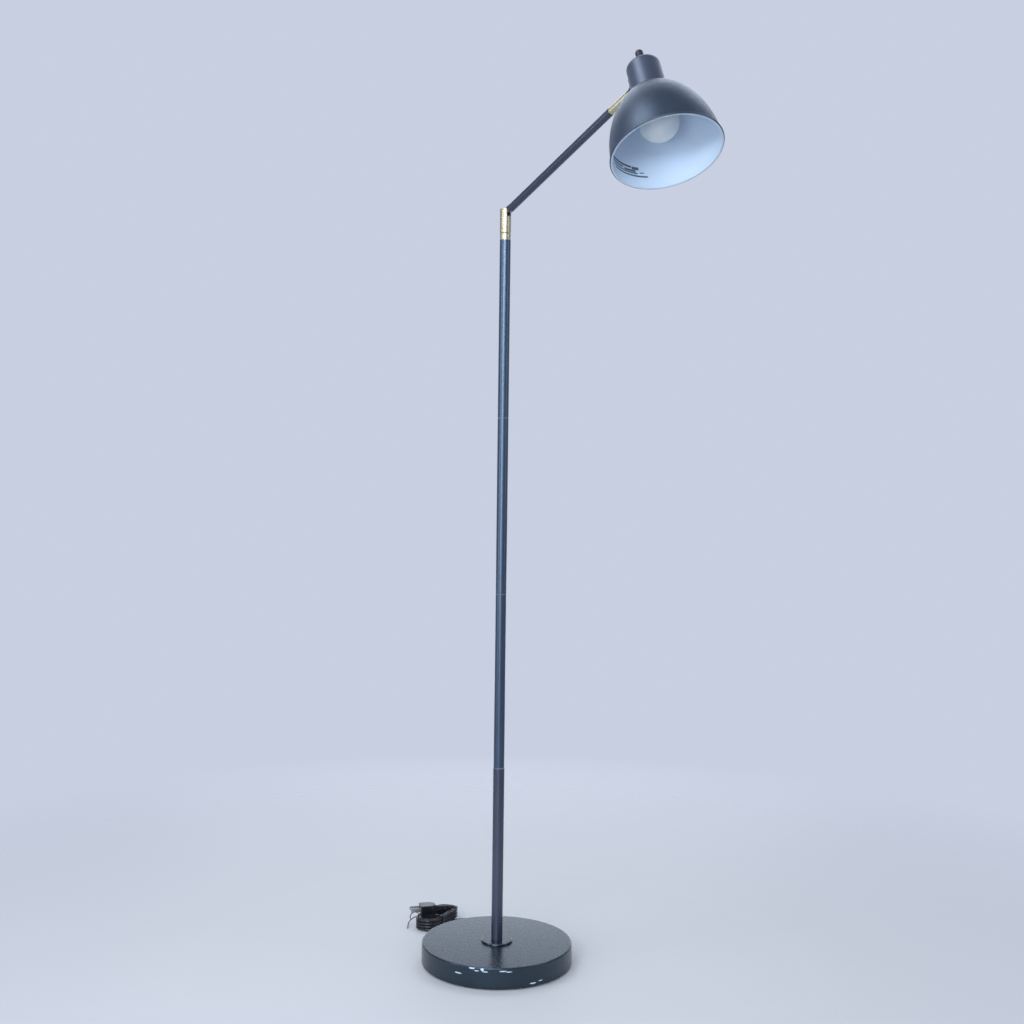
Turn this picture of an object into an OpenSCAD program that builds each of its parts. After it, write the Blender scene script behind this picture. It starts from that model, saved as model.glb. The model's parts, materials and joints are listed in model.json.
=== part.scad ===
// Adjustable floor lamp: a weighted round base, a four-piece pole, a brass knuckle,
// a raised arm and a domed metal shade that swivels and tilts at the end of the arm.
// The origin is the centre of the base's underside. +Z is up and the arm heads along +X.

/* [Base] */
// Outside diameter of the base
base_d = 240; // [200:5:300]
// Height of the base above the floor
base_h = 35; // [28:1:50]
// Wall thickness of the pressed base cover
base_wall = 2; // [1.5:0.5:3]
// Diameter of the ring at the foot of the pole
foot_ring_d = 50; // [36:1:70]
// Direction in which the mains lead leaves the base
lead_angle = 138; // [100:1:260]

/* [Pole] */
// Outside diameter of the pole
pole_d = 17; // [16:0.5:22]
// Wall thickness of the pole tubes
pole_wall = 1; // [0.8:0.1:1.5]
// Length of one pole section
section_l = 277.6; // [200:0.1:320]
// Number of pole sections
sections = 4; // [4:1:4]

/* [Knuckle] */
// Outside diameter of the brass fork on the pole
fork_d = 17.4; // [17:0.2:20]
// Height of the brass collar under the fork
collar_h = 10; // [9:1:20]
// Height of the fork above the collar
fork_h = 38; // [32:1:44]
// Width of the slot in the fork
fork_slot = 7; // [6.8:0.1:7.4]

/* [Arm] */
// Distance between the knuckle pin and the tilt pin
arm_l = 293; // [240:1:400]
// Outside diameter of the arm tube
arm_d = 12.2; // [12:0.2:14]
// Rise of the arm above the horizontal
arm_rise = 28; // [10:1:60]
// Length of the brass fork at the end of the arm
tip_fork_l = 42; // [36:1:50]
// Outside diameter of that fork
tip_fork_d = 10.8; // [9.6:0.2:11.4]

/* [Head] */
// Turn of the head about the arm
head_twist = -9; // [-30:1:30]
// Diameter of the shade at its rim
shade_d = 160; // [150:2:180]
// Wall thickness of the shade
shade_wall = 1.2; // [1:0.1:1.6]
// Distance from the tilt pin to the axis of the shade
head_reach = 40.5; // [40:0.5:50]
// Diameter of the bulb
bulb_d = 58; // [55:1:62]

/* [Mains lead] */
// Diameter of the mains lead
lead_d = 5; // [5:1:5]

/* [Hidden] */
$fn = 96;

// Clearances
gap = 0.3;        // between pieces that move past each other
running = 0.04;   // radial, round a pin that turns in its hole
snug = 0.05;      // radial, between fixed pieces that are screwed or pressed together

// Base
base_r = base_d / 2;
edge_r = 4;                      // rolled lower edge of the cover
shoulder_r = 2;                  // rounded upper edge of the cover
pad_h = 2.4;
pad_r = base_r - edge_r - 2.5;
cover_lift = 0.8;                // the cover's lower edge above the floor
weight_h = 17;
weight_r = base_r - base_wall - 4;
cover_top_z = base_h - base_wall;
weight_z = cover_top_z - weight_h;
rod_r = 5;
rod_bore_r = 3.4;
rod_z = 10;
washer_h = 1;
nut_h = 4.5;
ring_h = 2.5;

// Pole
pole_r = pole_d / 2;
foot_section_r = pole_r + 0.4;    // the lowest section is a little thicker
tube_bore_r = pole_r - pole_wall;
pole_z = base_h + ring_h;
pole_top_z = pole_z + sections * section_l;
bush_h = 22;
coupler_h = 36;
coupler_bore_r = 3.2;
wire_r = 2.5;
seam = 0.35;                     // bevel at each end of a pole section

// Knuckle
fork_r = fork_d / 2;
collar_r = fork_r - 0.2;
fork_z = pole_top_z + collar_h + gap;
elbow_z = pole_top_z + 41;       // height of the knuckle pin
stud_r = 4.9;
stud_bore_r = 2.8;
stud_l = 34;
elbow_pin_r = 2;
tongue_r = 4.4;
tongue_w = 5.8;
slot_floor_z = elbow_z - tongue_r - 0.4;
elbow_washer_h = 0.4;

// Arm, along its own +X from the knuckle pin
arm_r = arm_d / 2;
arm_bore_r = arm_r - 1;
tube_start = 15.5;
tube_end = arm_l + 5 - tip_fork_l;
tongue_plug_l = 20;
end_bush_l = 24;
spigot_r = 3.6;
spigot_l = 30;

// Tip fork and tilt joint, from the tilt pin
tip_r = tip_fork_d / 2;
tip_slot = 4.4;
tip_front = 5;
tab_r = 4.9;
tab_t = 3.6;
tilt_pin_r = 1.5;
tilt_washer_h = 0.3;

// Head, along the shade's axis from the plane of its rim
shade_r = shade_d / 2;
tilt_up = 132.6;                  // height of the tilt pin above the rim
bead_r = 1.5;                    // rolled edge of the rim
dome_r = shade_r - 2.4;
dome_h = 115.8;
neck_r = 24.5;
neck_z = 107.4;
shade_hole_r = 18;
cap_r = neck_r;
cap_top_r = 24.4;
cap_h = 49.3;
cap_fillet = 7.4;
cap_wall = 1.5;
cap_top_z = neck_z + cap_h;
holder_r = 17.6;
holder_z = 98;
holder_h = 50;
shell_r = 13.9;
shell_bore_r = 13.4;
screw_r = 13.1;
screw_z = 102.5;
screw_h = 23;
bulb_r = bulb_d / 2;
bulb_z = 54;
bulb_neck_r = 12;
stem_r = 3;
knob_r = 6.4;
knob_lift = 4.2;                 // gap under the knob, where the stem's collar shows
knob_h = 20;

// Mains lead: the stretch from the base to the hank, laid on the floor
lead_r = lead_d / 2;
relief_l = 30;
relief_z = 8;
LEAD_ROUTE = [
    [-112, 100, 8], [-117, 104, 7.2], [-124, 109, 5.2], [-133, 112, 3.4], [-143, 113, 2.6],
    [-153, 111, 2.5], [-162, 107, 2.5], [-170, 100, 2.5], [-177, 92, 2.5], [-184, 84, 2.5],
    [-188, 76, 2.5], [-190, 68, 2.5],
];

// Hank of folded lead. Its long axis is its own +X.
hank_x = -204;
hank_y = 41;
hank_turn = 108;
hank_straight = 50;
hank_w = 45;
hank_h = 20;
tie_x = -14;                     // place of the tie along the hank
tie_w = 4;
tie_t = 0.7;

// The end of the lead, from the hank's last fold up to the plug, in the hank's own axes
PLUG_ROUTE = [
    [45, 0, 17.5], [43.5, -8, 18.3], [39.5, -14, 20], [32.5, -18.5, 22.3], [25, -20, 24.6],
    [17.5, -18.5, 26.7], [11, -14, 28.2], [6, -9, 28.4],
];
plug_turn = 135;                 // the way the blades point, in the hank's own axes
plug_relief_l = 15;
plug_l = 26;
plug_w = 22;
plug_t = 14;
blade_l = 17;
blade_gap = 12.7;

// ---------------------------------------------------------------- helpers

// A tube or ring along +Z, from z = 0
module tube(r, bore, h) {
    difference() {
        cylinder(r = r, h = h);
        translate([0, 0, -1]) cylinder(r = bore, h = h + 2);
    }
}

module along_x() { rotate([0, 90, 0]) children(); }

module along_y() { rotate([-90, 0, 0]) children(); }

// A polyline as a tube with flat ends, ringed across the mean direction at each point.
// up is a direction that the polyline never takes.
function unit(v) = v / norm(v);
function heading(p, i) = unit(p[min(i + 1, len(p) - 1)] - p[max(i - 1, 0)]);
function ring_at(p, i, r, sides, up) =
    let (d = heading(p, i), u = unit(cross(d, up)), v = cross(u, d))
    [for (k = [0:sides - 1]) p[i] + r * (cos(360 * k / sides) * u + sin(360 * k / sides) * v)];

module sweep(p, r, sides = 10, up = [0, 0, 1]) {
    n = len(p);
    points = [for (i = [0:n - 1]) each ring_at(p, i, r, sides, up)];
    walls = [for (i = [0:n - 2], k = [0:sides - 1])
        let (a = i * sides, b = a + sides, m = (k + 1) % sides) [a + k, a + m, b + m, b + k]];
    first = [for (k = [0:sides - 1]) sides - 1 - k];
    last = [for (k = [0:sides - 1]) (n - 1) * sides + k];
    polyhedron(points, concat(walls, [first, last]));
}

// Frames of the moving pieces
module at_elbow() { translate([0, 0, elbow_z]) children(); }
module on_arm() { at_elbow() rotate([0, -arm_rise, 0]) children(); }
module at_tilt() { on_arm() translate([arm_l, 0, 0]) rotate([head_twist, 0, 0]) children(); }
module on_shade() { at_tilt() translate([head_reach, 0, -tilt_up]) children(); }
module on_hank() { translate([hank_x, hank_y, 0]) rotate([0, 0, hank_turn]) children(); }
module on_lead_exit() {
    rotate([0, 0, lead_angle]) translate([base_r - base_wall, 0, relief_z]) children();
}
module on_plug() {
    end = PLUG_ROUTE[len(PLUG_ROUTE) - 1];
    on_hank() translate(end) rotate([0, 0, plug_turn]) children();
}

// ---------------------------------------------------------------- base

module base_cover() {
    steps = 8;
    lower = [for (i = [0:steps]) let (a = 90 * i / steps)
        [base_r - edge_r + edge_r * sin(a), cover_lift + edge_r - edge_r * cos(a)]];
    upper = [for (i = [0:steps]) let (a = 90 * i / steps)
        [base_r - shoulder_r + shoulder_r * cos(a), base_h - shoulder_r + shoulder_r * sin(a)]];
    inside = [
        [rod_r + snug, base_h], [rod_r + snug, cover_top_z],
        [base_r - base_wall - shoulder_r, cover_top_z], [base_r - base_wall, cover_top_z - shoulder_r],
        [base_r - base_wall, cover_lift + edge_r], [base_r - edge_r, cover_lift + base_wall],
    ];
    color("#2b3038") difference() {
        rotate_extrude($fn = 180) polygon(concat(lower, upper, inside));
        on_lead_exit() along_x() translate([0, 0, -10]) cylinder(r = 4 + snug, h = 20);
    }
}

module base_weight() {
    color("#5a5a5c") translate([0, 0, weight_z]) tube(weight_r, rod_r + snug, weight_h);
}

module base_pad() { color("#1c1c1e") cylinder(r = pad_r, h = pad_h, $fn = 180); }

module base_rod() {
    color("#b9b5a6") translate([0, 0, rod_z]) tube(rod_r, rod_bore_r, pole_z + bush_h - rod_z);
}

module base_washer() {
    color("#b0b0b0") translate([0, 0, weight_z - washer_h]) tube(11, rod_r + snug, washer_h);
}

module base_nut() {
    color("#b0b0b0") translate([0, 0, weight_z - washer_h - nut_h]) difference() {
        cylinder(r = 9.2, h = nut_h, $fn = 6);
        translate([0, 0, -1]) cylinder(r = rod_r + snug, h = nut_h + 2);
    }
}

module foot_ring() {
    r = foot_ring_d / 2;
    color("#24272c") translate([0, 0, base_h]) rotate_extrude() polygon([
        [rod_r + snug, 0], [r, 0], [r, ring_h - 1.2], [r - 0.4, ring_h - 0.4], [r - 1.2, ring_h],
        [rod_r + snug, ring_h],
    ]);
}

// ---------------------------------------------------------------- pole

module pole_section(i) {
    z = pole_z + (i - 1) * section_l;
    r = i == 1 ? foot_section_r : pole_r;
    color("#20242b") translate([0, 0, z]) rotate_extrude() polygon([
        [tube_bore_r, 0], [r - seam, 0], [r, seam], [r, section_l - seam],
        [r - seam, section_l], [tube_bore_r, section_l],
    ]);
}

module pole_tube_1() { pole_section(1); }
module pole_tube_2() { pole_section(2); }
module pole_tube_3() { pole_section(3); }
module pole_tube_4() { pole_section(4); }

module pole_foot_bush() {
    color("#b9b5a6") translate([0, 0, pole_z]) tube(tube_bore_r - snug, rod_r + snug, bush_h);
}

module pole_couplers() {
    color("#b9b5a6") for (i = [1:sections - 1]) {
        translate([0, 0, pole_z + i * section_l - coupler_h / 2])
            tube(tube_bore_r - snug, coupler_bore_r, coupler_h);
    }
}

module pole_top_bush() {
    color("#b9b5a6") translate([0, 0, pole_top_z - collar_h])
        tube(tube_bore_r - snug, stud_r + gap, collar_h);
}

module pole_wire() {
    foot = pole_z + bush_h;
    turn_r = 8;
    inner = base_r - base_wall - 6;
    bend = [for (a = [0:15:90])
        [turn_r - turn_r * sin(a), 0, pad_h + wire_r + 0.2 + turn_r - turn_r * cos(a)]];
    low = [for (x = [inner, inner * 2 / 3, inner / 3]) [x, 0, pad_h + wire_r + 0.2]];
    color("#151515") rotate([0, 0, lead_angle])
        sweep(concat(low, bend, [[0, 0, foot], [0, 0, pole_top_z - 60]]), wire_r, 8, [0, 1, 0]);
}

// ---------------------------------------------------------------- mains lead

module cord_relief() {
    color("#17181a") on_lead_exit() along_x() rotate_extrude($fn = 48) polygon([
        [0, -4], [4, -4], [4, base_wall], [6, base_wall], [6, base_wall + 1.5],
        [5, base_wall + 3], [lead_r + 0.8, base_wall + relief_l], [0, base_wall + relief_l],
    ]);
}

module cord_lead() { color("#17181a") sweep(LEAD_ROUTE, lead_r); }

module cord_hank() {
    color("#17181a") on_hank() linear_extrude(height = hank_h) {
        square([hank_straight, hank_w], center = true);
        for (x = [-1, 1]) translate([x * hank_straight / 2, 0]) circle(d = hank_w);
    }
}

module plug_lead() { color("#17181a") on_hank() sweep(PLUG_ROUTE, lead_r); }

module cord_tie() {
    w = hank_w + 0.6;
    h = hank_h + 0.3;
    color("#101010") on_hank() translate([tie_x, 0, 0]) {
        difference() {
            translate([-tie_w / 2, -w / 2 - tie_t, 0]) cube([tie_w, w + 2 * tie_t, h + tie_t]);
            translate([-tie_w, -w / 2, tie_t]) cube([2 * tie_w, w, h - tie_t]);
        }
    }
}

module plug_body() {
    back = plug_relief_l;
    color("#17181a") on_plug() {
        along_x() rotate_extrude($fn = 48) polygon([
            [0, 0], [lead_r + 0.6, 0], [lead_r + 2.4, back + 3], [0, back + 3],
        ]);
        linear_extrude_centred(plug_t) polygon([
            [back, -5.5], [back + 8, -plug_w / 2], [back + plug_l - 1.5, -plug_w / 2],
            [back + plug_l, 1.5 - plug_w / 2], [back + plug_l, plug_w / 2 - 1.5],
            [back + plug_l - 1.5, plug_w / 2], [back + 8, plug_w / 2], [back, 5.5],
        ]);
    }
}

module linear_extrude_centred(h) {
    translate([0, 0, -h / 2]) linear_extrude(height = h) children();
}

module plug_blades() {
    color("#c9a24b") on_plug() for (side = [-1, 1]) {
        translate([plug_relief_l + plug_l, side * blade_gap / 2 - 0.75, -3.2])
            cube([blade_l, 1.5, 6.4]);
    }
}

// ---------------------------------------------------------------- knuckle on the pole

module swivel_collar() {
    bevel = 0.5;
    color("#cbb36a") translate([0, 0, pole_top_z]) rotate_extrude() polygon([
        [stud_r + running, 0], [collar_r - 0.3, 0], [collar_r, collar_h - bevel],
        [collar_r - bevel, collar_h], [stud_r + running, collar_h],
    ]);
}

module elbow_fork() {
    bevel = 0.5;
    color("#cbb36a") difference() {
        translate([0, 0, fork_z]) rotate_extrude() polygon([
            [stud_bore_r, -stud_l], [stud_r, -stud_l], [stud_r, 0], [fork_r - bevel, 0],
            [fork_r, bevel], [fork_r, fork_h - bevel], [fork_r - bevel, fork_h],
            [stud_bore_r, fork_h],
        ]);
        translate([-2 * fork_r, -fork_slot / 2, slot_floor_z])
            cube([4 * fork_r, fork_slot, fork_h]);
        at_elbow() translate([0, -fork_d, 0]) along_y() cylinder(r = elbow_pin_r + snug, h = 2 * fork_d);
    }
}

module swivel_nut() {
    color("#b9b5a6") translate([0, 0, pole_top_z - collar_h - gap - 5])
        tube(tube_bore_r - gap, stud_r + snug, 5);
}

module elbow_pin() {
    l = fork_d - 1;
    color("#d8c27c") at_elbow() translate([0, -l / 2, 0]) along_y() cylinder(r = elbow_pin_r, h = l);
}

module elbow_washers() {
    middle = (fork_slot + tongue_w) / 4;
    color("#b0b0b0") at_elbow() for (side = [-1, 1]) {
        translate([0, side * middle - elbow_washer_h / 2, 0]) along_y()
            tube(4.2, elbow_pin_r + snug, elbow_washer_h);
    }
}

// ---------------------------------------------------------------- arm

module arm_tongue() {
    color("#1d2026") on_arm() difference() {
        union() {
            translate([0, -tongue_w / 2, 0]) along_y() cylinder(r = tongue_r, h = tongue_w);
            translate([0, tongue_w / 2, 0]) rotate([90, 0, 0]) linear_extrude(height = tongue_w)
                polygon([
                    [0, -tongue_r], [9, -tongue_r], [tube_start - 1, 0.4 - arm_r],
                    [tube_start, 0.4 - arm_r], [tube_start, arm_r - 0.4], [7, arm_r - 0.4],
                    [0, tongue_r],
                ]);
            translate([tube_start - 1.2, 0, 0]) along_x() cylinder(r = arm_r - 0.2, h = 1.2);
            translate([tube_start, 0, 0]) along_x() cylinder(r = arm_bore_r - snug, h = tongue_plug_l);
        }
        translate([0, -tongue_w, 0]) along_y()
            cylinder(r = elbow_pin_r + running, h = 2 * tongue_w);
        translate([6.5, 0, 0]) along_x() cylinder(r = 1.8, h = tube_start + tongue_plug_l);
        translate([6.5, 0, -10]) cylinder(r = 1.8, h = 10);
    }
}

module arm_tube() {
    l = tube_end - gap - tube_start;
    color("#1d2026") on_arm() translate([tube_start, 0, 0]) along_x() tube(arm_r, arm_bore_r, l);
}

module arm_end_bush() {
    color("#b9b5a6") on_arm() translate([tube_end - gap - end_bush_l, 0, 0]) along_x()
        tube(arm_bore_r - snug, spigot_r + running, end_bush_l);
}

module arm_wire() {
    start = tube_start + tongue_plug_l + 1;
    color("#151515") on_arm() translate([start, 0, 0]) along_x()
        cylinder(r = 1.6, h = tube_end - end_bush_l - 12 - start, $fn = 24);
}

// ---------------------------------------------------------------- fork at the arm's end

module tip_fork() {
    shoulder = tip_front - tip_fork_l;
    groove = shoulder - end_bush_l - 2 * gap - 1.2;
    color("#cbb36a") at_tilt() difference() {
        along_x() rotate_extrude() polygon([
            [1.8, shoulder - spigot_l], [spigot_r, shoulder - spigot_l], [spigot_r, groove],
            [spigot_r - 0.5, groove], [spigot_r - 0.5, groove + 1.2], [spigot_r, groove + 1.2],
            [spigot_r, shoulder], [tip_r - 0.3, shoulder], [tip_r, shoulder + 0.3],
            [tip_r, tip_front - 0.6], [tip_r - 0.6, tip_front], [1.8, tip_front],
        ]);
        translate([-tab_r - 0.8, -tip_slot / 2, -tip_fork_d])
            cube([tip_fork_d * 2, tip_slot, 2 * tip_fork_d]);
        translate([0, -tip_fork_d, 0]) along_y() cylinder(r = tilt_pin_r + snug, h = 2 * tip_fork_d);
    }
}

module tip_retainer() {
    back = tip_front - tip_fork_l - end_bush_l - 2 * gap - 1.1;
    color("#b0b0b0") at_tilt() translate([back, 0, 0]) along_x()
        tube(arm_bore_r - gap, spigot_r - 0.45, 1);
}

module tilt_pin() {
    l = tip_fork_d - 0.8;
    color("#d8c27c") at_tilt() translate([0, -l / 2, 0]) along_y() cylinder(r = tilt_pin_r, h = l);
}

module tilt_washers() {
    middle = (tip_slot + tab_t) / 4;
    color("#b0b0b0") at_tilt() for (side = [-1, 1]) {
        translate([0, side * middle - tilt_washer_h / 2, 0]) along_y()
            tube(3.4, tilt_pin_r + snug, tilt_washer_h);
    }
}

// ---------------------------------------------------------------- head

// Radius of the dome's outside at a height above the rim, and the inward normal there
function dome(z) = dome_r * pow(1 - pow(z / dome_h, 1.98), 0.582);
function dome_in(z) = let (e = 0.05, s = dome(z + e) - dome(max(z - e, 0)), n = norm([s, 2 * e]))
    [dome(z), z] + shade_wall * [-2 * e, s] / n;
function cap_side(z) = cap_r - (cap_r - cap_top_r) * (z - neck_z) / cap_h;

module shade_shell() {
    n = 34;
    heights = [for (i = [0:n]) neck_z * (1 - pow(1 - i / n, 1.5))];
    outer = [for (z = heights) [dome(z), z]];
    inner = [for (i = [n:-1:1]) if (heights[i] < neck_z - 1.5) dome_in(heights[i])];
    on_shade() difference() {
        union() {
            rotate_extrude($fn = 180) polygon(concat(
                outer, [[shade_hole_r, neck_z], [shade_hole_r, neck_z - shade_wall]],
                [[neck_r - 0.6, neck_z - shade_wall]], inner, [[dome_r - shade_wall, 0]]));
            rotate_extrude($fn = 180) translate([shade_r - bead_r, bead_r]) circle(r = bead_r, $fn = 24);
        }
        translate([0, 0, -shade_r]) cylinder(r = 2 * shade_r, h = shade_r - 0.6);
    }
}

// The spun shell is one piece. It is drawn as four quarters that meet face to face, so that collision
// can follow its curve. toward is the middle of the quarter, 0 being the side away from the arm.
module shade_quarter(toward) {
    color("#22262e") intersection() {
        shade_shell();
        on_shade() rotate([0, 0, toward - 45]) translate([0, 0, -1]) rotate_extrude(angle = 90)
            square([2 * shade_r, 2 * shade_r]);
    }
}

module shade_quarter_front() { shade_quarter(0); }

module shade_quarter_left() { shade_quarter(90); }

module shade_quarter_back() { shade_quarter(180); }

module shade_quarter_right() { shade_quarter(270); }

module rivet_places() {
    for (a = [-17, 17]) rotate([0, 0, 180 + a]) translate([cap_side(tilt_up), 0, tilt_up]) along_x()
        children();
}

module shade_cap() {
    steps = 8;
    fillet = [for (i = [0:steps]) let (a = 90 * i / steps)
        [cap_top_r - cap_fillet + cap_fillet * cos(a), cap_h - cap_fillet + cap_fillet * sin(a)]];
    color("#22262e") on_shade() difference() {
        translate([0, 0, neck_z]) rotate_extrude() polygon(concat(
            [[cap_r, 0]], fillet, [[stem_r + gap, cap_h], [stem_r + gap, cap_h - cap_wall]],
            [[cap_top_r - cap_fillet, cap_h - cap_wall], [cap_top_r - cap_wall, cap_h - cap_fillet]],
            [[cap_r - cap_wall, 0]]));
        rivet_places() translate([0, 0, -5]) cylinder(r = 1.5 + snug, h = 10, $fn = 24);
    }
}

module shade_bracket() {
    low = tilt_up - 11;
    high = tilt_up + 11;
    foot_t = 1.6;
    color("#1d2026") difference() {
        union() {
            at_tilt() {
                translate([0, -tab_t / 2, 0]) along_y() cylinder(r = tab_r, h = tab_t);
                translate([0, tab_t / 2, 0]) rotate([90, 0, 0]) linear_extrude(height = tab_t)
                    polygon([
                        [0, -tab_r], [5.5, -tab_r], [7, -6.3], [head_reach - cap_r - 0.8, -6.3],
                        [head_reach - cap_r - 0.8, 6.3], [7, 6.3], [5.5, tab_r], [0, tab_r],
                    ]);
            }
            on_shade() rotate([0, 0, 155]) rotate_extrude(angle = 50) polygon([
                [cap_side(low), low], [cap_side(low) + foot_t, low],
                [cap_side(high) + foot_t, high], [cap_side(high), high],
            ]);
        }
        at_tilt() translate([0, -tab_t, 0]) along_y()
            cylinder(r = tilt_pin_r + running, h = 2 * tab_t);
        on_shade() rivet_places() translate([0, 0, -5]) cylinder(r = 1.5 + snug, h = 10, $fn = 24);
    }
}

module bracket_rivets() {
    color("#2a2d33") on_shade() rivet_places() {
        translate([0, 0, -cap_wall - 0.95]) cylinder(r = 1.5, h = cap_wall + 3, $fn = 24);
        translate([0, 0, 1.65]) cylinder(r1 = 2.7, r2 = 1.9, h = 1.1, $fn = 24);
        translate([0, 0, -cap_wall - 1.05]) cylinder(r = 2.3, h = 0.8, $fn = 24);
    }
}

module lamp_holder() {
    flange_r = 21;
    flange_h = 3;
    pocket = 33;
    color("#18181a") on_shade() translate([0, 0, holder_z]) difference() {
        union() {
            cylinder(r = holder_r, h = holder_h);
            translate([0, 0, neck_z - holder_z]) cylinder(r = flange_r, h = flange_h);
        }
        translate([0, 0, -1]) cylinder(r = shell_r + 0.2, h = pocket + 1);
        translate([0, 0, holder_h - 10]) cylinder(r = stem_r + running, h = 11);
    }
}

module cap_ring() {
    color("#18181a") on_shade() translate([0, 0, neck_z - shade_wall - 4])
        tube(21.5, holder_r + snug, 4);
}

module holder_shell() {
    color("#c8b26e") on_shade() translate([0, 0, holder_z + 3]) tube(shell_r, shell_bore_r, 25);
}

module holder_contact() {
    top = holder_z + 33;
    color("#c8b26e") on_shade() translate([0, 0, screw_z + screw_h + 2.2])
        cylinder(r = 3.2, h = top - screw_z - screw_h - 2.2, $fn = 32);
}

module bulb_glass() {
    n = 20;
    leave = 38;                  // where the globe ends above its equator, in degrees
    wall = 0.9;
    z1 = bulb_z + bulb_r * sin(leave);
    r1 = bulb_r * cos(leave);
    globe = [for (i = [0:n]) let (a = -90 + (90 + leave) * i / n) [cos(a), sin(a)]];
    neck = concat([for (i = [1:n]) let (t = i / n, s = t * t * (3 - 2 * t), u = t - s)
        [r1 + (bulb_neck_r - r1) * s - u * 3.5, z1 + (screw_z - z1) * t]],
        [[bulb_neck_r, screw_z + 2]]);
    skin = concat([for (p = globe) [bulb_r * p[0], bulb_z + bulb_r * p[1]]], neck);
    core = concat([for (p = globe) [(bulb_r - wall) * p[0], bulb_z + (bulb_r - wall) * p[1]]],
        [for (p = neck) [p[0] - wall, p[1]]]);
    color("#efeadd") on_shade() rotate_extrude()
        polygon(concat(skin, [for (i = [len(core) - 1:-1:0]) core[i]]));
}

module bulb_screw() {
    turns = 6;
    pitch = 3;
    color("#bfc2c4") on_shade() translate([0, 0, screw_z]) {
        difference() {
            cylinder(r = screw_r - 0.4, h = screw_h);
            translate([0, 0, -1]) cylinder(r = bulb_neck_r + snug, h = 4);
        }
        for (i = [0:turns - 1]) translate([0, 0, 4 + i * pitch]) cylinder(r = screw_r, h = 1.4);
    }
}

module bulb_contact() {
    color("#8f8f92") on_shade() translate([0, 0, screw_z + screw_h])
        cylinder(r1 = 5, r2 = 3, h = 2, $fn = 32);
}

module switch_stem() {
    low = holder_z + holder_h - 9;
    color("#b9b5a6") on_shade() {
        translate([0, 0, low]) cylinder(r = stem_r, h = cap_top_z + 12 - low, $fn = 48);
        translate([0, 0, cap_top_z + gap]) cylinder(r = 5, h = knob_lift - 2 * gap, $fn = 48);
    }
}

module switch_knob() {
    color("#202329") on_shade() translate([0, 0, cap_top_z + knob_lift]) difference() {
        rotate_extrude($fn = 72) polygon([
            [0, 0], [knob_r - 0.4, 0], [knob_r, 0.4], [knob_r, 2], [knob_r - 0.6, 2.4],
            [knob_r - 0.6, knob_h - 3.5], [knob_r - 1.2, knob_h - 1.6], [knob_r - 2.8, knob_h - 0.4],
            [0, knob_h],
        ]);
        translate([0, 0, -1]) cylinder(r = stem_r + snug, h = 10, $fn = 48);
    }
}

// ---------------------------------------------------------------- the whole lamp

base_cover();
base_weight();
base_pad();
base_rod();
base_nut();
base_washer();
foot_ring();
pole_foot_bush();
pole_tube_1();
pole_tube_2();
pole_tube_3();
pole_tube_4();
pole_couplers();
pole_top_bush();
pole_wire();
cord_relief();
cord_lead();
cord_hank();
plug_lead();
cord_tie();
plug_body();
plug_blades();
swivel_collar();
elbow_fork();
swivel_nut();
elbow_pin();
elbow_washers();
arm_tongue();
arm_tube();
arm_end_bush();
arm_wire();
tip_fork();
tip_retainer();
tilt_pin();
tilt_washers();
shade_bracket();
bracket_rivets();
shade_quarter_front();
shade_quarter_left();
shade_quarter_back();
shade_quarter_right();
shade_cap();
cap_ring();
lamp_holder();
holder_shell();
holder_contact();
bulb_glass();
bulb_screw();
bulb_contact();
switch_stem();
switch_knob();
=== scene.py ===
"""Looks of an adjustable arm floor lamp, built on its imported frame. Metres, +Z up, arm towards +X."""

import json
import math

import bmesh
import bpy
from mathutils import Matrix, Vector


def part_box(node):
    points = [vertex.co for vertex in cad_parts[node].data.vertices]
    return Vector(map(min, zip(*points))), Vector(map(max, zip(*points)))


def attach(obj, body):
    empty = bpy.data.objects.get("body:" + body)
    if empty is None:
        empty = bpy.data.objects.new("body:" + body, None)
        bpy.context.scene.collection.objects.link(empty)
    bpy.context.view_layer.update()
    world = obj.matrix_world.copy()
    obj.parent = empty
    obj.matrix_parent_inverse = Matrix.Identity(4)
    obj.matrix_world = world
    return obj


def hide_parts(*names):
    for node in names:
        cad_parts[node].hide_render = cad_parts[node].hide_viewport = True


MM = 0.001
BASE_R = 120 * MM                # radius of the base
CAP_TOP = 156.7 * MM             # height of the cap's top above the shade's rim

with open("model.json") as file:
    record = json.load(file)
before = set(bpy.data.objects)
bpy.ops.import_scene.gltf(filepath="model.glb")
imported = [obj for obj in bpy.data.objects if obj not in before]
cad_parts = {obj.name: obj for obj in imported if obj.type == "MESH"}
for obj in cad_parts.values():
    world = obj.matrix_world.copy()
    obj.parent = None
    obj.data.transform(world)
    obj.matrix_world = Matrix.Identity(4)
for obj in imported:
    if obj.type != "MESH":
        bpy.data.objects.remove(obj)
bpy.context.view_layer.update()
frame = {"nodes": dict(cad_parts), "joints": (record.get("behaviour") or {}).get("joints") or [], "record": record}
nodes = frame["nodes"]
joints = {j["name"]: j for j in frame["joints"]}


# ---------------------------------------------------------------- camera


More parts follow.
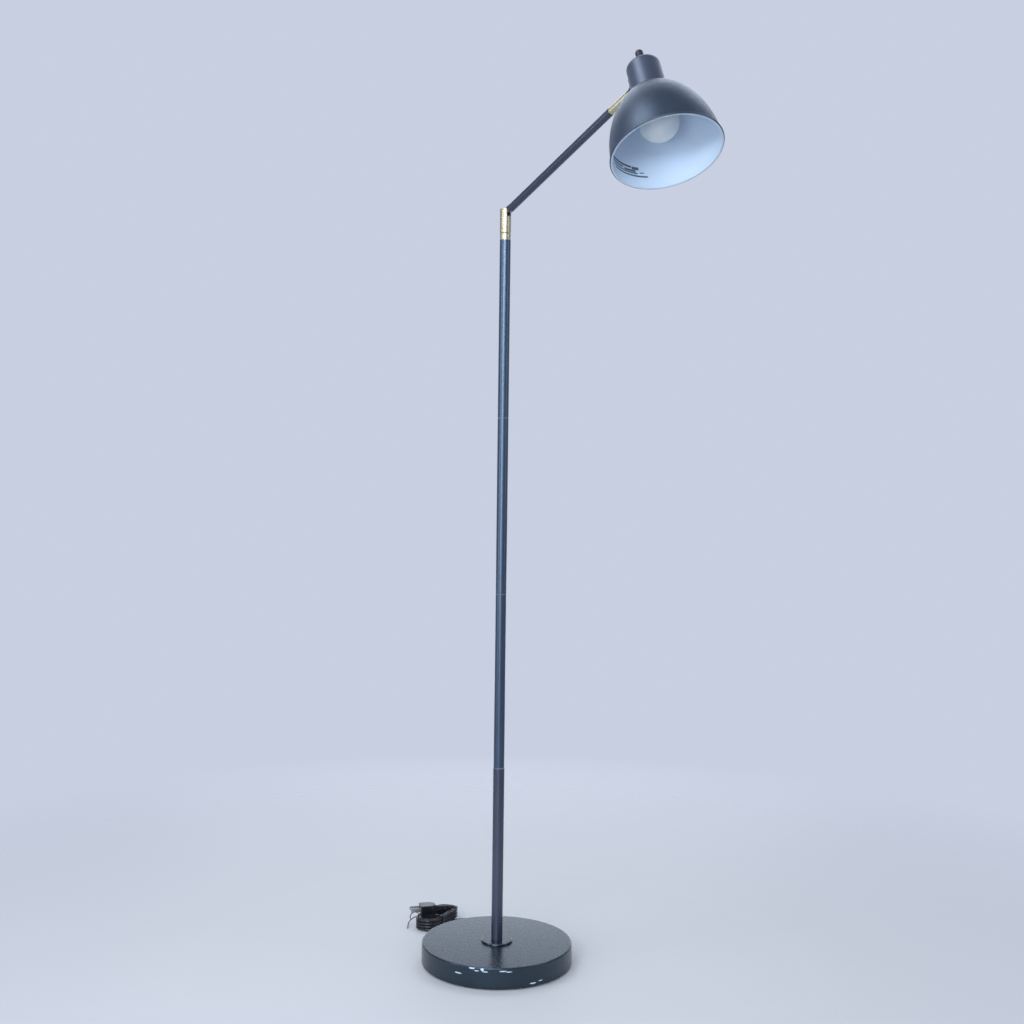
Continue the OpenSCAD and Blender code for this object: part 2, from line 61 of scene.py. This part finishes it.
def make_camera():
    """A hand-held view from the front right, a little below the lamp's middle, looking slightly down."""
    azimuth = math.radians(48.3)
    pitch = 0.051                # downward, in radians
    roll = 0.0125
    back = 2.24                  # from the pole
    shift = 0.0158               # to the right of the pole
    eye_height = 0.837
    side = Vector((math.cos(azimuth), math.sin(azimuth), 0))
    ahead = Vector((-math.sin(azimuth), math.cos(azimuth), 0))
    above = Vector((0, 0, 1))
    look = ahead * math.cos(pitch) - above * math.sin(pitch)
    up = ahead * math.sin(pitch) + above * math.cos(pitch)
    right = side * math.cos(roll) + up * math.sin(roll)
    top = up * math.cos(roll) - side * math.sin(roll)
    data = bpy.data.cameras.new("camera")
    data.lens = 50
    data.sensor_width = 36
    data.clip_end = 50
    camera = bpy.data.objects.new("camera", data)
    bpy.context.scene.collection.objects.link(camera)
    place = side * shift - ahead * back + above * eye_height
    camera.matrix_world = Matrix((
        (right.x, top.x, -look.x, place.x),
        (right.y, top.y, -look.y, place.y),
        (right.z, top.z, -look.z, place.z),
        (0, 0, 0, 1),
    ))
    bpy.context.scene.camera = camera
    return side, ahead


side, ahead = make_camera()


# ---------------------------------------------------------------- shader helpers


def add(tree, kind, inputs=None, **settings):
    """A shader node, with its settings made and its inputs set to values or joined to other sockets."""
    node = tree.nodes.new("ShaderNode" + kind)
    for key, value in settings.items():
        setattr(node, key, value)
    for key, value in (inputs or {}).items():
        if isinstance(value, bpy.types.NodeSocket):
            tree.links.new(value, node.inputs[key])
        else:
            node.inputs[key].default_value = value
    return node


def number(tree, operation, first, second=0.0):
    return add(tree, "Math", {0: first, 1: second}, operation=operation).outputs[0]


def vector_math(tree, operation, first, second):
    """first and second are sockets, or vectors set on the node."""
    node = add(tree, "VectorMath", {0: first, 1: second}, operation=operation)
    return node.outputs["Value" if operation == "DOT_PRODUCT" else "Vector"]


def object_place(tree):
    return add(tree, "TexCoord").outputs["Object"]


def noise(tree, place, scale, detail=3.0, rough=0.5):
    return add(tree, "TexNoise", {"Vector": place, "Scale": scale, "Detail": detail, "Roughness": rough})


def spread(tree, value, low, high, to_low=0.0, to_high=1.0):
    """value from low to high becomes to_low to to_high, and stays inside them."""
    return add(tree, "MapRange", {"Value": value, "From Min": low, "From Max": high,
                                  "To Min": to_low, "To Max": to_high}).outputs["Result"]


def mixed(tree, share, first, second):
    node = add(tree, "Mix", data_type="RGBA")
    for socket, value in ((node.inputs[0], share), (node.inputs[6], first), (node.inputs[7], second)):
        if isinstance(value, bpy.types.NodeSocket):
            tree.links.new(value, socket)
        else:
            socket.default_value = value
    return node.outputs[2]


def band(tree, value, middle, half, soft):
    """1 where value lies within half of middle, falling to 0 over soft."""
    away = number(tree, "ABSOLUTE", number(tree, "SUBTRACT", value, middle))
    return spread(tree, away, half, half + soft, 1.0, 0.0)


def bump(tree, shader, height, strength, distance, after=None):
    inputs = {"Height": height, "Strength": strength, "Distance": distance}
    if after is not None:
        inputs["Normal"] = after
    node = add(tree, "Bump", inputs)
    tree.links.new(node.outputs["Normal"], shader.inputs["Normal"])
    return node.outputs["Normal"]


def new_material(name, colour, roughness, metallic=0.0, specular=0.5):
    material = bpy.data.materials.new(name)
    material.use_nodes = True
    shader = material.node_tree.nodes["Principled BSDF"]
    shader.inputs["Base Color"].default_value = (*colour, 1)
    shader.inputs["Roughness"].default_value = roughness
    shader.inputs["Metallic"].default_value = metallic
    shader.inputs["Specular IOR Level"].default_value = specular
    return material, material.node_tree, shader


# ---------------------------------------------------------------- studio


def area_light(name, around, height, distance, target_z, size, power, colour):
    """A panel light. around is its direction, in degrees to the right of the camera, from the pole."""
    a = math.radians(around)
    away = side * math.sin(a) - ahead * math.cos(a)
    place = away * distance + Vector((0, 0, height))
    data = bpy.data.lights.new(name, "AREA")
    data.shape = "RECTANGLE"
    data.size, data.size_y = size
    data.energy = power
    data.color = colour
    light = bpy.data.objects.new(name, data)
    light.location = place
    light.rotation_mode = "QUATERNION"
    light.rotation_quaternion = (Vector((0, 0, target_z)) - place).to_track_quat("-Z", "Y")
    light.visible_camera = False
    bpy.context.scene.collection.objects.link(light)


def make_studio():
    """A pale backdrop behind the lamp, a dimmer room around it and soft panels for light."""
    scene = bpy.context.scene
    scene.view_settings.view_transform = "Standard"
    world = bpy.data.worlds.new("studio")
    world.use_nodes = True
    tree = world.node_tree
    way = add(tree, "TexCoord").outputs["Generated"]
    behind = spread(tree, vector_math(tree, "DOT_PRODUCT", way, ahead), 0.5, 0.86)
    low = spread(tree, add(tree, "SeparateXYZ", {0: way}).outputs["Z"], 0.30, 0.42, 1.0, 0.0)
    pale = number(tree, "MULTIPLY", behind, low)
    tone = mixed(tree, pale, (0.24, 0.27, 0.34, 1), (0.578, 0.624, 0.752, 1))
    tree.links.new(tone, tree.nodes["Background"].inputs["Color"])
    scene.world = world
    area_light("key", -10, 1.62, 2.5, 1.25, (1.9, 0.3), 40, (0.76, 0.87, 1.0))
    area_light("front", -22, 0.95, 2.5, 0.75, (1.2, 0.8), 11, (0.72, 0.85, 1.0))
    area_light("fill", -64, 1.2, 2.4, 0.9, (0.7, 2.2), 16, (0.80, 0.90, 1.0))
    area_light("low", -14, 0.55, 2.6, 0.55, (1.0, 0.9), 12, (0.80, 0.88, 1.0))
    area_light("right", 72, 1.6, 2.4, 0.9, (0.5, 2.2), 8, (0.80, 0.90, 1.0))
    area_light("top", -60, 2.7, 1.2, 1.3, (1.0, 0.8), 14, (0.84, 0.90, 1.0))
    area_light("above", 170, 2.6, 1.4, 1.2, (2.6, 1.3), 26, (0.80, 0.89, 1.0))
    area_light("behind", 180, 0.30, 1.68, 0.1, (1.8, 0.40), 6, (0.80, 0.90, 1.0))


make_studio()


# ---------------------------------------------------------------- materials


def enamel(name, dark, light, roughness, ior, tint, peel_strength=0.05):
    """Satin enamel: slow changes of tone, dust that dulls it in places and a fine orange peel."""
    material, tree, shader = new_material(name, dark, roughness, specular=0.9)
    shader.inputs["IOR"].default_value = ior
    shader.inputs["Specular Tint"].default_value = (*tint, 1)
    place = object_place(tree)
    slow = noise(tree, place, 14, 4).outputs["Fac"]
    dust = noise(tree, place, 90, 6, 0.65).outputs["Fac"]
    peel = noise(tree, place, 900, 2).outputs["Fac"]
    tone = mixed(tree, spread(tree, slow, 0.35, 0.7), (*dark, 1), (*light, 1))
    tree.links.new(tone, shader.inputs["Base Color"])
    dull = spread(tree, dust, 0.3, 0.75, roughness - 0.01, roughness + 0.015)
    tree.links.new(dull, shader.inputs["Roughness"])
    bump(tree, shader, peel, peel_strength, 0.0001)
    return material


def pole_enamel(name, dark, light, tint):
    """The pole's enamel, with a painted highlight: a lighter line where two sections meet, standing in for the
    light that the edge of each joint catches.
    """
    material = enamel(name, dark, light, 0.34, 1.7, tint)
    tree = material.node_tree
    shader = tree.nodes["Principled BSDF"]
    place = object_place(tree)
    height = add(tree, "SeparateXYZ", {0: place}).outputs["Z"]
    patchy = spread(tree, noise(tree, place, 160, 4).outputs["Fac"], 0.35, 0.65, 0.35, 1.0)
    tone = shader.inputs["Base Color"].links[0].from_socket
    # Painted highlight: a lighter line at the top of each section, broken up by noise, stands in for the light
    # that the joint's edge catches.
    half, soft = 0.6 * MM, 0.5 * MM
    for section, share in (("pole_tube_1", 0.6), ("pole_tube_2", 0.35), ("pole_tube_3", 0.45)):
        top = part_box(section)[1][2]
        joint_highlight = band(tree, height, top, half, soft)
        bright_mark = number(tree, "MULTIPLY", number(tree, "MULTIPLY", joint_highlight, patchy), share)
        tone = mixed(tree, bright_mark, tone, (0.30, 0.35, 0.42, 1))
    tree.links.new(tone, shader.inputs["Base Color"])
    return material


# Chips in the base's enamel: direction in degrees, then height, half length and half height in mm
CHIPS = [
    (-70.6, 22.0, 5.0, 0.9), (-59.5, 32.8, 4.2, 1.1), (-55.8, 29.6, 3.2, 0.8),
    (-51.6, 32.0, 2.6, 2.0), (-49.5, 29.0, 4.5, 0.8), (-36.5, 30.2, 5.0, 0.9),
    (-32.2, 29.0, 4.0, 0.7), (-13.4, 7.4, 5.5, 0.9), (-7.0, 9.2, 3.6, 0.8),
]


def chipped_enamel():
    """The base's enamel, with bright chips where its front edge was knocked."""
    material = enamel("base_enamel", dark=(0.004, 0.006, 0.008), light=(0.006, 0.009, 0.012),
                      roughness=0.27, ior=1.5, tint=(0.58, 0.80, 1.0), peel_strength=0.015)
    tree = material.node_tree
    shader = tree.nodes["Principled BSDF"]
    place = object_place(tree)
    parts = add(tree, "SeparateXYZ", {0: place}).outputs
    angle = number(tree, "ARCTAN2", parts["Y"], parts["X"])
    ragged = number(tree, "MULTIPLY", noise(tree, place, 330, 5, 0.75).outputs["Fac"], 3.2)
    bright_mark = None
    for direction, z, half_l, half_h in CHIPS:
        turn = number(tree, "SUBTRACT", angle, math.radians(direction))
        along = number(tree, "DIVIDE", turn, half_l * MM / BASE_R)
        up = number(tree, "DIVIDE", number(tree, "SUBTRACT", parts["Z"], z * MM), half_h * MM)
        far = number(tree, "ADD", number(tree, "MULTIPLY", along, along),
                     number(tree, "MULTIPLY", up, up))
        chip = spread(tree, number(tree, "ADD", far, ragged), 2.4, 2.9, 1.0, 0.0)
        bright_mark = chip if bright_mark is None else number(tree, "MAXIMUM", bright_mark, chip)
    tone = shader.inputs["Base Color"].links[0].from_socket
    tree.links.new(mixed(tree, bright_mark, tone, (0.62, 0.72, 0.82, 1)), shader.inputs["Base Color"])
    return material


def satin_brass(name, colour, shade):
    """Turned brass with cloudy tarnish and a soft shine."""
    material, tree, shader = new_material(name, colour, 0.3, metallic=1.0)
    place = object_place(tree)
    cloud = noise(tree, place, 45, 5, 0.6).outputs["Fac"]
    tree.links.new(mixed(tree, spread(tree, cloud, 0.4, 0.75), (*colour, 1), (*shade, 1)),
                   shader.inputs["Base Color"])
    tree.links.new(spread(tree, cloud, 0.3, 0.75, 0.36, 0.46), shader.inputs["Roughness"])
    bump(tree, shader, noise(tree, place, 260, 3).outputs["Fac"], 0.02, 0.0002)
    return material


def plated(name, colour, roughness):
    material, tree, shader = new_material(name, colour, roughness, metallic=1.0)
    place = object_place(tree)
    cloud = noise(tree, place, 220, 5, 0.6).outputs["Fac"]
    tree.links.new(spread(tree, cloud, 0.3, 0.7, roughness - 0.08, roughness + 0.12),
                   shader.inputs["Roughness"])
    bump(tree, shader, cloud, 0.1, 0.0001)
    return material


def moulded(name, colour, roughness, scale=700):
    """Moulded plastic or rubber with a fine matt grain."""
    material, tree, shader = new_material(name, colour, roughness)
    place = object_place(tree)
    slow = noise(tree, place, 60, 4).outputs["Fac"]
    grain = noise(tree, place, scale, 3).outputs["Fac"]
    lighter = tuple(min(1, c * 1.7 + 0.004) for c in colour)
    tree.links.new(mixed(tree, spread(tree, slow, 0.4, 0.75), (*colour, 1), (*lighter, 1)),
                   shader.inputs["Base Color"])
    tree.links.new(spread(tree, grain, 0.3, 0.7, roughness - 0.06, roughness + 0.08),
                   shader.inputs["Roughness"])
    bump(tree, shader, grain, 0.15, 0.0001)
    return material


# Plain bars of the label inside the shade: height above the rim and half thickness in millimetres, and
# both ends in degrees from the side next to the arm
LABEL_BARS = [(31.5, 1.6, -29, 4), (30.5, 2.2, 6, 14), (27.3, 1.3, -27, -8), (26.4, 1.6, -5, 10),
              (23.2, 1.2, -24, 12), (24.5, 0.9, 16, 20), (19.0, 1.3, -22, 24)]


def shade_enamel():
    """Matt black outside and white enamel inside: the side is told by which way the surface faces."""
    material, tree, shader = new_material("shade_enamel", (0.02, 0.024, 0.032), 0.4, specular=0.9)
    shader.inputs["IOR"].default_value = 1.65
    shader.inputs["Specular Tint"].default_value = (0.66, 0.82, 1.0, 1)
    axis = Vector(joints["switch_turn"]["axis"])
    over = Vector(joints["head_swivel"]["axis"])
    across = Vector(joints["head_tilt"]["axis"])
    rim = Vector(joints["switch_turn"]["pos_m"]) - axis * CAP_TOP
    coordinates = add(tree, "TexCoord")
    place = coordinates.outputs["Object"]
    facing = coordinates.outputs["Normal"]
    offset = vector_math(tree, "SUBTRACT", place, rim)
    height = vector_math(tree, "DOT_PRODUCT", offset, axis)
    x = vector_math(tree, "DOT_PRODUCT", offset, over)
    y = vector_math(tree, "DOT_PRODUCT", offset, across)
    radius = number(tree, "SQRT", number(tree, "ADD", number(tree, "MULTIPLY", x, x),
                                         number(tree, "MULTIPLY", y, y)))
    facing_x = number(tree, "MULTIPLY", vector_math(tree, "DOT_PRODUCT", facing, over), x)
    facing_y = number(tree, "MULTIPLY", vector_math(tree, "DOT_PRODUCT", facing, across), y)
    outward = number(tree, "DIVIDE", number(tree, "ADD", facing_x, facing_y), radius)
    inside = spread(tree, outward, 0.04, 0.14, 1.0, 0.0)

    slow = noise(tree, place, 18, 4).outputs["Fac"]
    dust = noise(tree, place, 120, 6, 0.65).outputs["Fac"]
    peel = noise(tree, place, 1400, 2).outputs["Fac"]
    black = mixed(tree, spread(tree, slow, 0.35, 0.7),
                  (0.010, 0.015, 0.028, 1), (0.017, 0.024, 0.041, 1))
    white = mixed(tree, spread(tree, slow, 0.35, 0.75),
                  (0.66, 0.745, 0.84, 1), (0.61, 0.70, 0.80, 1))
    angle = number(tree, "ARCTAN2", y, number(tree, "MULTIPLY", x, -1.0))
    soft_edge = 0.5 * MM
    soft_end = 0.02              # in radians
    print_share = None
    for z, half, start, end in LABEL_BARS:
        row = band(tree, height, z * MM, (half - 0.3) * MM, soft_edge)
        run = band(tree, angle, math.radians((start + end) / 2),
                   math.radians((end - start) / 2), soft_end)
        bar = number(tree, "MULTIPLY", row, run)
        print_share = bar if print_share is None else number(tree, "MAXIMUM", print_share, bar)
    white = mixed(tree, number(tree, "MULTIPLY", print_share, 0.95), white, (0.02, 0.03, 0.05, 1))
    tree.links.new(mixed(tree, inside, black, white), shader.inputs["Base Color"])
    tree.links.new(spread(tree, dust, 0.35, 0.7, 0.40, 0.50), shader.inputs["Roughness"])
    bump(tree, shader, peel, 0.05, 0.0001)
    return material


def frosted_glass():
    material, tree, shader = new_material("frosted_glass", (0.78, 0.80, 0.80), 0.45)
    place = object_place(tree)
    cloud = noise(tree, place, 40, 3).outputs["Fac"]
    tone = mixed(tree, spread(tree, cloud, 0.4, 0.7), (0.80, 0.82, 0.83, 1), (0.74, 0.76, 0.78, 1))
    tree.links.new(tone, shader.inputs["Base Color"])
    shader.inputs["Coat Weight"].default_value = 0.35
    shader.inputs["Coat Roughness"].default_value = 0.12
    shader.inputs["Subsurface Weight"].default_value = 0.2
    shader.inputs["Subsurface Scale"].default_value = 0.004
    return material


MATERIALS = {
    "base_paint": chipped_enamel(),
    "pole_paint": pole_enamel("pole_enamel", dark=(0.014, 0.022, 0.042), light=(0.021, 0.031, 0.055),
                              tint=(0.62, 0.80, 1.0)),
    "arm_paint": enamel("arm_enamel", dark=(0.014, 0.016, 0.028), light=(0.020, 0.022, 0.036),
                        roughness=0.38, ior=1.6, tint=(0.70, 0.82, 1.0)),
    "shade_shell": shade_enamel(),
    "iron_weight": moulded("cast_iron", (0.06, 0.06, 0.06), 0.7, 400),
    "brass_satin": satin_brass("satin_brass", (0.62, 0.55, 0.38), (0.50, 0.43, 0.27)),
    "brass_plain": satin_brass("plain_brass", (0.70, 0.56, 0.28), (0.55, 0.42, 0.20)),
    "plated_steel": plated("plated_steel", (0.60, 0.60, 0.58), 0.35),
    "foot_pad": moulded("foot_pad", (0.02, 0.02, 0.02), 0.85),
    "lead_sheath": moulded("lead_sheath", (0.006, 0.006, 0.008), 0.28),
    "holder_plastic": moulded("holder_plastic", (0.02, 0.02, 0.02), 0.5),
    "bulb_frosted": frosted_glass(),
    "bulb_metal": plated("bulb_metal", (0.62, 0.62, 0.62), 0.32),
    "knob_black": moulded("knob_black", (0.02, 0.022, 0.028), 0.42),
}


def dress_nodes():
    """Every CAD node takes the material of its slot, but the cap and lowest section have their own."""
    slots = {p["node"]: p["material_slot"] for p in frame["record"]["subparts"]}
    cap_paint = enamel("cap_enamel", dark=(0.026, 0.031, 0.050), light=(0.040, 0.046, 0.070),
                       roughness=0.44, ior=1.7, tint=(0.74, 0.84, 1.0))
    foot_paint = pole_enamel("foot_section_enamel", dark=(0.012, 0.014, 0.025),
                             light=(0.018, 0.020, 0.034), tint=(0.72, 0.78, 1.0))
    special = {"shade_cap": cap_paint, "pole_tube_1": foot_paint}
    for name, node in nodes.items():
        node.data.materials.clear()
        node.data.materials.append(special.get(name) or MATERIALS[slots[name]])


# ---------------------------------------------------------------- mains lead


LEAD_D = 5 * MM
# The stretch from the base to the hank, in millimetres
LEAD_ROUTE = [
    (-112, 100, 8), (-117, 104, 7.2), (-124, 109, 5.2), (-133, 112, 3.4), (-143, 113, 2.6),
    (-153, 111, 2.5), (-162, 107, 2.5), (-170, 100, 2.5), (-177, 92, 2.5), (-184, 84, 2.5),
    (-188, 76, 2.5), (-190, 68, 2.5),
]
# The end of the lead, from the hank's last fold up to the plug, in the hank's own axes
PLUG_ROUTE = [
    (45, 0, 17.5), (43.5, -8, 18.3), (39.5, -14, 20), (32.5, -18.5, 22.3), (25, -20, 24.6),
    (17.5, -18.5, 26.7), (11, -14, 28.2), (6, -9, 28.4),
]
HANK_PLACE = (-204, 41)
HANK_TURN = math.radians(108)
HANK_STRAIGHT = 50
# Each turn of the hank: how far its two runs lie apart, and its height
HANK_TURNS = [(40, 2.5), (30, 2.5), (30, 7.5), (40, 7.5), (40, 12.5), (30, 12.5), (30, 17.5), (40, 17.5)]


def from_hank(point):
    """A point given in the hank's own axes, in millimetres, as a vector in the row's axes."""
    x, y, z = point
    c, s = math.cos(HANK_TURN), math.sin(HANK_TURN)
    return Vector((HANK_PLACE[0] + x * c - y * s, HANK_PLACE[1] + x * s + y * c, z))


def fold(part):
    """A point of one turn of the hank: along it, then across it and round its end in half widths."""
    half = HANK_STRAIGHT / 2
    if part < 0.25:
        return (half - HANK_STRAIGHT * part / 0.25, -1.0, 0.0)
    if part < 0.5:
        a = math.pi * (part - 0.25) / 0.25
        return (-half, -math.cos(a), -math.sin(a))
    if part < 0.75:
        return (-half + HANK_STRAIGHT * (part - 0.5) / 0.25, 1.0, 0.0)
    a = math.pi * (part - 0.75) / 0.25
    return (half, math.cos(a), math.sin(a))


def hank_points():
    """The turns of the hank, each easing into the next over its last quarter."""
    points = []
    steps = 40
    start, stop = 3, 34          # the steps where the first turn begins and the last one ends
    for i, (width, height) in enumerate(HANK_TURNS):
        last = i == len(HANK_TURNS) - 1
        following = HANK_TURNS[min(i + 1, len(HANK_TURNS) - 1)]
        for k in range(start if i == 0 else 0, stop if last else steps):
            part = k / steps
            x, across, beyond = fold(part)
            t = max(0.0, (part - 0.75) / 0.25)
            t = t * t * (3 - 2 * t)
            half = (width + (following[0] - width) * t) / 2
            z = height + (following[1] - height) * t
            points.append(from_hank((x + beyond * half, across * half, z)))
    return points


def resample(points, step):
    """Points a step apart along a Catmull-Rom curve through the points."""
    dense = []
    ends = [points[0] * 2 - points[1]] + points + [points[-1] * 2 - points[-2]]
    for a, b, c, d in zip(ends, ends[1:], ends[2:], ends[3:]):
        for k in range(12):
            t = k / 12
            dense.append(0.5 * (2 * b + (c - a) * t + (2 * a - 5 * b + 4 * c - d) * t * t
                                + (3 * b - a - 3 * c + d) * t ** 3))
    dense.append(points[-1])
    out = [dense[0]]
    walked = 0.0
    for a, b in zip(dense, dense[1:]):
        walked += (b - a).length
        if walked >= step:
            out.append(b)
            walked = 0.0
    out[-1] = dense[-1]
    return out


def make_lead():
    """The whole mains lead as one curve, in the place of its three CAD nodes."""
    step = 3.0                   # between points of the curve, in millimetres
    end = [from_hank(p) for p in PLUG_ROUTE]
    knots = [Vector(p) for p in LEAD_ROUTE] + hank_points() + end
    points = [p * MM for p in resample(knots, step)]
    curve = bpy.data.curves.new("mains_lead", "CURVE")
    curve.dimensions = "3D"
    curve.bevel_depth = LEAD_D / 2
    curve.bevel_resolution = 3
    curve.use_fill_caps = True
    spline = curve.splines.new("POLY")
    spline.points.add(len(points) - 1)
    for target, p in zip(spline.points, points):
        target.co = (*p, 1)
    spline.use_smooth = True
    curve.materials.append(MATERIALS["lead_sheath"])
    lead = bpy.data.objects.new("mains_lead", curve)
    bpy.context.scene.collection.objects.link(lead)
    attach(lead, "stand")
    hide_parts("cord_lead", "cord_hank", "plug_lead")


def make_tie_tails():
    """The twisted ends of the wire tie, which stick out to the side of the hank."""
    ends = [[(-14, 24, 14), (-15, 30, 18), (-17, 36, 19), (-21, 40, 15), (-24, 41, 10), (-25, 37, 7)],
            [(-14, 24, 11), (-17, 31, 12), (-24, 36, 9), (-32, 37, 5), (-41, 33, 2), (-50, 27, 1.2)]]
    curve = bpy.data.curves.new("cord_tie_tails", "CURVE")
    curve.dimensions = "3D"
    curve.bevel_depth = 0.8 * MM
    curve.bevel_resolution = 2
    curve.use_fill_caps = True
    for end in ends:
        spline = curve.splines.new("NURBS")
        spline.points.add(len(end) - 1)
        for target, p in zip(spline.points, end):
            target.co = (*(from_hank(p) * MM), 1)
        spline.use_endpoint_u = True
        spline.order_u = 4
    curve.materials.append(MATERIALS["lead_sheath"])
    tails = bpy.data.objects.new("cord_tie_tails", curve)
    bpy.context.scene.collection.objects.link(tails)
    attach(tails, "stand")


make_lead()
make_tie_tails()
dress_nodes()


# ---------------------------------------------------------------- floor


def make_floor():
    """A pale disc under the lamp, for the pictures only, fading out towards its edge."""
    mesh = bpy.data.meshes.new("floor")
    shape = bmesh.new()
    bmesh.ops.create_circle(shape, cap_ends=True, segments=96, radius=1.6)
    shape.to_mesh(mesh)
    shape.free()
    material, tree, shader = new_material("floor_pale", (0.66, 0.64, 0.635), 0.7)
    place = object_place(tree)
    distance = add(tree, "VectorMath", {0: place}, operation="LENGTH").outputs["Value"]
    grain = noise(tree, place, 300, 3).outputs["Fac"]
    bump(tree, shader, grain, 0.05, 0.0002)
    tree.links.new(spread(tree, distance, 0.5, 1.5, 1.0, 0.0), shader.inputs["Alpha"])
    mesh.materials.append(material)
    floor = bpy.data.objects.new("floor", mesh)
    floor.location.z = -0.0002
    bpy.context.scene.collection.objects.link(floor)


make_floor()


bpy.context.view_layer.update()
